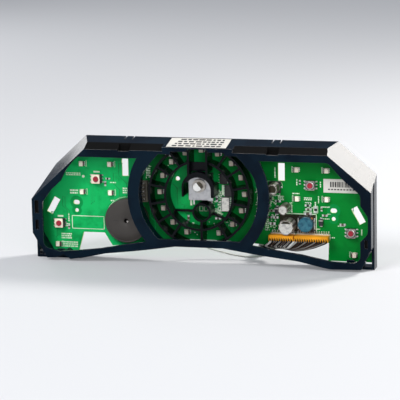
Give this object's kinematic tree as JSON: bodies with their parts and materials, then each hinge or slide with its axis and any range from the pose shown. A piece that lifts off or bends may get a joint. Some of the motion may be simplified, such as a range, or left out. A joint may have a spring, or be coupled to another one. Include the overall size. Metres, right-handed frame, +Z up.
{
  "type": "display control board",
  "caption": "Green circuit board with a ring of lights, push switches and an encoder in a glossy black moulded frame with two wing windows and a central ring.",
  "frame": {"origin": "middle of the base that the frame's rear rim stands on, without its cords", "axes": "+X to the right seen from the front, +Y to the back through the board, +Z up"},
  "size_m": [0.228, 0.1258, 0.0817],
  "materials": {
    "frame_black": "glossy moulded black",
    "board_green": "green solder mask",
    "box_black": "satin black",
    "dark_plastic": "fine matte dark grey",
    "plate_metal": "tinned sheet",
    "shaft_metal": "turned and bright",
    "cream_plastic": "cream moulded",
    "switch_grey": "grey with a sheet-metal look",
    "plunger_red": "red moulded",
    "light_cream": "cream ceramic look",
    "buzzer_brown": "brown-grey satin",
    "can_metal": "bright can with a dark mark",
    "coil_blue": "blue lacquer",
    "plug_amber": "amber, slightly clear",
    "chip_black": "moulded package",
    "part_brown": "fired chip body",
    "label_white": "matte sticker",
    "wire_grey": "soft insulation of several colours",
    "wire_white": "soft white insulation"
  },
  "bodies": {
    "board_unit": {"housing_frame": "frame_black", "circuit_board": "board_green", "light_box": "box_black", "encoder_base": "dark_plastic", "encoder_cover": "plate_metal", "switch_body_1": "cream_plastic", "switch_body_2": "cream_plastic", "switch_body_3": "switch_grey", "switch_body_4": "switch_grey", "ring_light_1": "light_cream", "ring_light_2": "light_cream", "ring_light_3": "light_cream", "ring_light_4": "light_cream", "ring_light_5": "light_cream", "ring_light_6": "light_cream", "ring_light_7": "light_cream", "ring_light_8": "light_cream", "ring_light_9": "light_cream", "ring_light_10": "light_cream", "ring_light_11": "light_cream", "ring_light_12": "light_cream", "ring_light_13": "light_cream", "ring_light_14": "light_cream", "ring_light_15": "light_cream", "left_wing_lights": "light_cream", "right_wing_lights": "light_cream", "buzzer": "buzzer_brown", "capacitor_large": "can_metal", "capacitor_small": "can_metal", "capacitor_surface": "can_metal", "inductor_base": "dark_plastic", "inductor_coil": "coil_blue", "header_left": "cream_plastic", "header_right": "cream_plastic", "plug_left": "plug_amber", "plug_right": "plug_amber", "driver_chip": "chip_black", "control_chip": "chip_black", "memory_chip": "chip_black", "side_connector": "cream_plastic", "chip_parts": "part_brown", "diodes": "chip_black", "board_label": "label_white", "frame_label": "label_white", "wires_left": "wire_grey", "wires_right": "wire_grey", "cable_tie": "box_black", "harness": "wire_grey", "harness_connector": "cream_plastic", "white_wire": "wire_white"},
    "plunger_1": {"switch_plunger_1": "plunger_red"},
    "plunger_2": {"switch_plunger_2": "plunger_red"},
    "plunger_3": {"switch_plunger_3": "plunger_red"},
    "plunger_4": {"switch_plunger_4": "plunger_red"},
    "shaft": {"encoder_shaft": "shaft_metal"}
  },
  "joints": [
    {"name": "press_1", "type": "slide", "parent": "board_unit", "child": "plunger_1", "axis": [0, 1, 0], "range_m": [0, 0.00025], "stiffness_N_per_m": 10},
    {"name": "press_2", "type": "slide", "parent": "board_unit", "child": "plunger_2", "axis": [0, 1, 0], "range_m": [0, 0.00025], "stiffness_N_per_m": 10},
    {"name": "press_3", "type": "slide", "parent": "board_unit", "child": "plunger_3", "axis": [0, 1, 0], "range_m": [0, 0.00025], "stiffness_N_per_m": 10},
    {"name": "press_4", "type": "slide", "parent": "board_unit", "child": "plunger_4", "axis": [0, 1, 0], "range_m": [0, 0.00025], "stiffness_N_per_m": 10},
    {"name": "shaft_turn", "type": "hinge", "parent": "board_unit", "child": "shaft", "pos_m": [0, 0, 0.0528], "axis": [0, -1, 0], "continuous": true}
  ]
}
